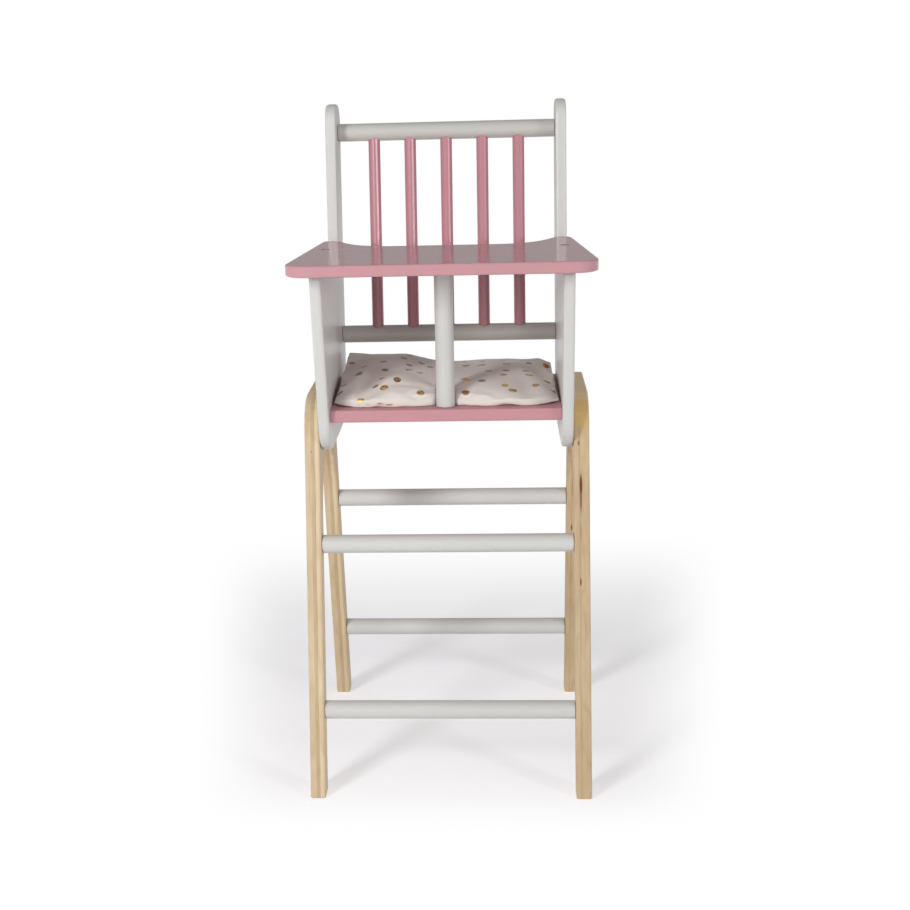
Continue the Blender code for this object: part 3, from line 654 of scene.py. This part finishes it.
def swell_pad(item):
    """Let the filling push the cloth out from its seam, no further than the limit and less at the rear."""
    start = [vertex.co.copy() for vertex in item.data.vertices]
    seam = item.vertex_groups.new(name="seam")
    seam.add([number for number, place in enumerate(start) if on_rim(place)], 1.0, "REPLACE")
    swelling = item.modifiers.new("filling", "CLOTH")
    cloth = swelling.settings
    cloth.quality = 6
    cloth.mass = 0.15
    cloth.tension_stiffness = 20
    cloth.compression_stiffness = 20
    cloth.shear_stiffness = 8
    cloth.bending_stiffness = 0.2
    cloth.shrink_min = -0.03
    cloth.use_pressure = True
    cloth.uniform_pressure_force = 4
    cloth.effector_weights.gravity = 0
    cloth.vertex_group_mass = "seam"
    swelling.collision_settings.use_collision = False
    scene = bpy.context.scene
    for number in range(1, SWELL_FRAMES + 1):
        scene.frame_set(number)
    settle(item)
    scene.frame_set(1)
    for vertex, before in zip(item.data.vertices, start):
        moved = vertex.co - before
        if moved.length > SWELL_LIMIT:
            moved.length = SWELL_LIMIT
        taut = eased(PAD_HIGH.y - before.y, 0.0, REAR_TAUT_REACH)
        vertex.co = before + moved * (REAR_SWELL_SHARE + (1 - REAR_SWELL_SHARE) * taut)


def fold_lift(place):
    """How far the folds lift or sink the upper cloth at a place in plan."""
    lift = 0.0
    for start, end, rise, width in FOLDS:
        run = end - start
        share = max(0.0, min(1.0, (place - start).dot(run) / run.length_squared))
        away = (place - start - run * share).length / width
        arched = FOLD_END_SHARE + (1 - FOLD_END_SHARE) * math.sin(math.pi * share)
        lift += rise * math.exp(-(away ** 2)) * arched
    return lift


def crease_pad(item):
    """Fold the upper cloth, pucker it beside the seam, and keep the pad on the seat and clear."""
    mesh = item.data
    rim_x = PAD_HALF_WIDTH
    for vertex in mesh.vertices:
        place = vertex.co
        side = rim_x - abs(place.x)
        rear = PAD_HIGH.y - place.y
        front = place.y - pad_place(max(-1.0, min(1.0, place.x / rim_x)), -1.0).y
        away = max(0.0, min(side, rear, front))
        run = place.y if side < min(rear, front) else place.x
        noise_row = 0.0 if place.z > SEAT_TOP + LOWER_CLOTH_TOP else 5.0
        ripple = noise.noise(Vector((run / PUCKER_PITCH, 0.0, noise_row)))
        if rear < min(side, front):
            ripple *= REAR_PUCKER_SHARE
        wave = noise.noise(Vector([value * count for value, count in zip(place, WAVES_PER_METRE)]))
        wave *= WAVE_DEPTH * eased(rear, 0.0, WAVE_REAR_CALM)
        push = PUCKER_DEPTH * ripple * math.exp(-away / PUCKER_REACH) + wave
        if vertex.normal.z > FACING_UP:
            push += fold_lift(place.xy)
        vertex.co = place + vertex.normal * push
    clear_of_post = POST_HIGH.x - POST_MIDDLE.x + POST_CLEARANCE
    for vertex in mesh.vertices:
        from_post = vertex.co.xy - POST_MIDDLE
        if from_post.length < clear_of_post:
            vertex.co.xy = POST_MIDDLE + from_post.normalized() * clear_of_post
        vertex.co.z = max(vertex.co.z, SEAT_TOP + LEAST_GAP_TO_SEAT)
        vertex.co.x = max(-rim_x, min(rim_x, vertex.co.x))
        vertex.co.y = max(PAD_LOW.y, min(PAD_HIGH.y, vertex.co.y))


COTTON = (0.785, 0.747, 0.693, 1.0)
# The weave repeats every 2.6 mm, coarser than real thread. A wave texture turns through 20 radians in each
# unit of its scaled place.
WEAVE_PITCH = math.tau * 0.00042
WAVE_RADIANS = 20
SLUBS_PER_METRE = 1400.0
SHADES_PER_METRE = 30.0
DOT_CELLS_PER_METRE = 55.0
DOT_SHIFT = (0.37, 0.62, 0.0)
# Sizes in cells: the smallest radius, how much larger the largest is, and the soft rim
DOT_RADIUS = 0.168
DOT_RADIUS_CHANGE = 0.045
DOT_RIM = 0.022
PRINTED_SHARE = 0.62
FLAKES_PER_METRE = 700.0
FLAKE_RANGE = (0.34, 0.42)
TARNISH_PER_METRE = 260.0
# Gold, copper, bronze, dark brown and grey brown
FOILS = (
    (0.00, (0.80, 0.50, 0.09, 1.0)),
    (0.35, (0.64, 0.33, 0.05, 1.0)),
    (0.62, (0.46, 0.19, 0.03, 1.0)),
    (0.82, (0.22, 0.10, 0.03, 1.0)),
    (1.00, (0.28, 0.21, 0.14, 1.0)),
)


def make_cotton():
    """Plain weave with round foil dots of gold, copper and brown, some of them half rubbed off."""
    material, tree, shader = new_finish("foil_dotted_cotton", 0.85, Sheen_Weight=0.25, Sheen_Roughness=0.5)
    place = add_node(tree, "TexCoord").outputs["UV"]
    body = add_node(tree, "TexCoord").outputs["Object"]
    flecks = add_node(tree, "Mapping", {"Vector": place, "Location": DOT_SHIFT}).outputs["Vector"]
    feeds = {"Vector": flecks, "Scale": DOT_CELLS_PER_METRE, "Randomness": 0.9}
    cells = add_node(tree, "TexVoronoi", feeds, voronoi_dimensions="2D").outputs
    chance = add_node(tree, "SeparateColor", {0: cells["Color"]}).outputs
    radius = math_node(tree, "MULTIPLY_ADD", chance["Green"], DOT_RADIUS_CHANGE, DOT_RADIUS)
    inside = math_node(tree, "SUBTRACT", radius, cells["Distance"])
    dot = spread(tree, inside, 0.0, DOT_RIM)
    printed = math_node(tree, "LESS_THAN", chance["Red"], PRINTED_SHARE)
    dot = math_node(tree, "MULTIPLY", dot, printed)
    flakes = noise_value(tree, place, FLAKES_PER_METRE, 3.0, 0.6)
    dot = math_node(tree, "MULTIPLY", dot, spread(tree, flakes, *FLAKE_RANGE))
    tint = add_node(tree, "ValToRGB", {"Fac": chance["Blue"]})
    stops = tint.color_ramp.elements
    stops[0].color = FOILS[0][1]
    stops[1].color = FOILS[-1][1]
    for position, foil_colour in FOILS[1:-1]:
        stops.new(position).color = foil_colour
    shade = spread(tree, noise_value(tree, place, TARNISH_PER_METRE, 2.0), 0.42, 0.62, 0.45, 1.15)
    foil = blend_colours(tree, 1.0, tint.outputs["Color"], shade, "MULTIPLY")

    threads = {"Vector": place, "Scale": math.tau / WEAVE_PITCH / WAVE_RADIANS}
    weft = add_node(tree, "TexWave", threads, bands_direction="X").outputs[1]
    warp = add_node(tree, "TexWave", threads, bands_direction="Y").outputs[1]
    weave = math_node(tree, "MAXIMUM", weft, warp)
    slub = noise_value(tree, stretched(tree, place, (1.0, 0.08, 1.0)), SLUBS_PER_METRE, 2.0)
    tone = math_node(tree, "MULTIPLY_ADD", slub, 0.05, 0.955)
    tone = math_node(tree, "MULTIPLY_ADD", weave, 0.02, tone)
    broad = spread(tree, noise_value(tree, body, SHADES_PER_METRE, 2.0), 0.3, 0.7, 0.97, 1.02)
    colour = blend_colours(tree, 1.0, COTTON, math_node(tree, "MULTIPLY", tone, broad), "MULTIPLY")
    colour = blend_colours(tree, dot, colour, foil)
    tree.links.new(colour, shader.inputs["Base Color"])
    tree.links.new(math_node(tree, "MULTIPLY_ADD", dot, -0.48, 0.88), shader.inputs["Roughness"])
    tree.links.new(math_node(tree, "MULTIPLY", dot, 0.55), shader.inputs["Metallic"])
    height = math_node(tree, "MULTIPLY_ADD", slub, 0.4, weave)
    tree.links.new(bumped(tree, height, 0.00004), shader.inputs["Normal"])
    return material


def make_pad():
    pad = bpy.data.objects.new("cotton_cushion", sewn_pad())
    bpy.context.collection.objects.link(pad)
    swell_pad(pad)
    finer = pad.modifiers.new("finer", "SUBSURF")
    finer.levels = 1
    finer.render_levels = 1
    settle(pad)
    crease_pad(pad)
    pad.data.shade_smooth()
    pad.data.materials.clear()
    pad.data.materials.append(make_cotton())
    return pad


cushion = make_pad()
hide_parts("seat_cushion")
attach(cushion, "cushion")


# Studio. A pale floor that fades to white round the chair, two soft boxes in front of it, left and right,
# and a camera that stands where the photograph was taken.
FLOOR_HALF = 6.0
FLOOR_PAPER = (0.90, 0.885, 0.92, 1.0)
FLOOR_GLOW = 0.37
WHITE_GLOW = 1.0
# Where the shaded patch of floor starts to fade and where it has gone, at its sides, front and rear.
# The patch widens to the rear by its spread.
PATCH_SIDE_FADE = (0.135, 0.250)
PATCH_SPREAD = 0.16
PATCH_FRONT_FADE = (-0.070, -0.185)
PATCH_REAR_FADE = (0.200, 0.640)


def seen_directly(tree):
    """Whether something is seen straight or through glass, and whether it is seen mirrored. Both are 0 for
    the light that it throws on the object."""
    path = add_node(tree, "LightPath").outputs
    straight = math_node(tree, "MAXIMUM", path["Is Camera Ray"], path["Is Transmission Ray"])
    return straight, path["Is Glossy Ray"]


def make_floor():
    shape = bmesh.new()
    bmesh.ops.create_grid(shape, x_segments=8, y_segments=8, size=FLOOR_HALF)
    mesh = bpy.data.meshes.new("studio_floor")
    shape.to_mesh(mesh)
    shape.free()
    floor = bpy.data.objects.new("studio_floor", mesh)
    bpy.context.collection.objects.link(floor)
    material = bpy.data.materials.new("pale_floor")
    material.use_nodes = True
    tree = material.node_tree
    tree.nodes.clear()
    place = add_node(tree, "TexCoord").outputs["Object"]
    spots = add_node(tree, "SeparateXYZ", {0: place}).outputs
    aside = math_node(tree, "ABSOLUTE", spots["X"])
    beside = math_node(tree, "MULTIPLY_ADD", spots["Y"], -PATCH_SPREAD, aside)
    kept = spread(tree, beside, *PATCH_SIDE_FADE, 1.0, 0.0)
    for fade in (PATCH_FRONT_FADE, PATCH_REAR_FADE):
        kept = math_node(tree, "MULTIPLY", kept, spread(tree, spots["Y"], *fade, 1.0, 0.0))
    seen = math_node(tree, "MAXIMUM", *seen_directly(tree))
    faded = math_node(tree, "MULTIPLY", math_node(tree, "SUBTRACT", 1.0, kept), seen)
    dust = spread(tree, noise_value(tree, place, 60.0, 3.0), 0.3, 0.7, 0.985, 1.0)
    colour = blend_colours(tree, 1.0, FLOOR_PAPER, dust, "MULTIPLY")
    paper = add_node(tree, "BsdfDiffuse", {"Color": colour}).outputs[0]
    glow = math_node(tree, "MULTIPLY", seen, FLOOR_GLOW)
    glow = add_node(tree, "Emission", {"Strength": glow}).outputs[0]
    lit = add_node(tree, "AddShader", {0: paper, 1: glow}).outputs[0]
    white = add_node(tree, "Emission", {"Strength": WHITE_GLOW}).outputs[0]
    mixed = add_node(tree, "MixShader", {0: faded, 1: lit, 2: white}).outputs[0]
    add_node(tree, "OutputMaterial", {"Surface": mixed})
    mesh.materials.append(material)


ROOM_LEVEL = 0.80
OVERHEAD_LEVEL = 0.0
MIRRORED_LEVEL = 0.44
BEHIND_RISE = 0.7
# How far a direction points up, and to the back, where the change starts and where it is full
OVERHEAD_FADE = (0.25, 0.90)
BEHIND_FADE = (-0.5, 0.3)


def make_world():
    """White where it is seen. As light the room is dim overhead, and in gloss dimmer behind the chair."""
    world = bpy.data.worlds.new("white_studio")
    bpy.context.scene.world = world
    world.use_nodes = True
    tree = world.node_tree
    background = tree.nodes["Background"]
    background.inputs["Color"].default_value = (1.0, 1.0, 1.0, 1.0)
    direction = add_node(tree, "TexCoord").outputs["Generated"]
    behind = (0.0, math.cos(BEHIND_RISE), math.sin(BEHIND_RISE))
    rearward = vector_node(tree, "DOT_PRODUCT", direction, behind)
    upward = vector_node(tree, "DOT_PRODUCT", direction, (0.0, 0.0, 1.0))
    straight, glossy = seen_directly(tree)
    as_light = spread(tree, upward, *OVERHEAD_FADE, ROOM_LEVEL, OVERHEAD_LEVEL)
    in_gloss = spread(tree, rearward, *BEHIND_FADE, 1.0, MIRRORED_LEVEL)
    feeds = {0: glossy, 2: as_light, 3: in_gloss}
    strength = add_node(tree, "Mix", feeds, data_type="FLOAT").outputs[0]
    tree.links.new(math_node(tree, "MAXIMUM", strength, straight), background.inputs["Strength"])


SEAT_PLACE = Vector((0.0, 0.0, 0.30))


def make_soft_box(name, azimuth, distance, height, power, size):
    """A tall soft box on a stand, aimed at the seat. Its azimuth is from the front, to the right."""
    turned = math.radians(azimuth)
    place = Vector((distance * math.sin(turned), -distance * math.cos(turned), height))
    lamp = bpy.data.lights.new(name, "AREA")
    lamp.shape = "RECTANGLE"
    lamp.size = size[0]
    lamp.size_y = size[1]
    lamp.energy = power
    box = bpy.data.objects.new(name, lamp)
    bpy.context.collection.objects.link(box)
    box.location = place
    box.rotation_euler = (SEAT_PLACE - place).to_track_quat("-Z", "Y").to_euler()


make_floor()
make_world()
make_soft_box("soft_box_left", azimuth=-35.0, distance=1.5, height=0.85, power=10.5, size=(0.32, 0.60))
make_soft_box("soft_box_right", azimuth=49.0, distance=3.4, height=1.10, power=22.3, size=(0.50, 1.30))

CAMERA_PLACE = (0.0428, -1.2919, 0.6022)
CAMERA_YAW = math.radians(3.885)
CAMERA_PITCH = math.radians(14.345)
CAMERA_ROLL = math.radians(-1.595)
eye = bpy.data.cameras.new("camera")
eye.sensor_width = 36.0
eye.lens = 60.04
eye.shift_x = 0.0629
eye.shift_y = -0.0016
eye.clip_start = 0.05
eye.clip_end = 60.0
camera = bpy.data.objects.new("camera", eye)
bpy.context.collection.objects.link(camera)
tilt = Matrix.Rotation(math.radians(90) - CAMERA_PITCH, 4, "X")
turn = Matrix.Rotation(CAMERA_YAW, 4, "Z")
camera.matrix_world = Matrix.Translation(CAMERA_PLACE) @ turn @ tilt @ Matrix.Rotation(CAMERA_ROLL, 4, "Z")
bpy.context.scene.camera = camera
bpy.context.scene.view_settings.view_transform = "Standard"
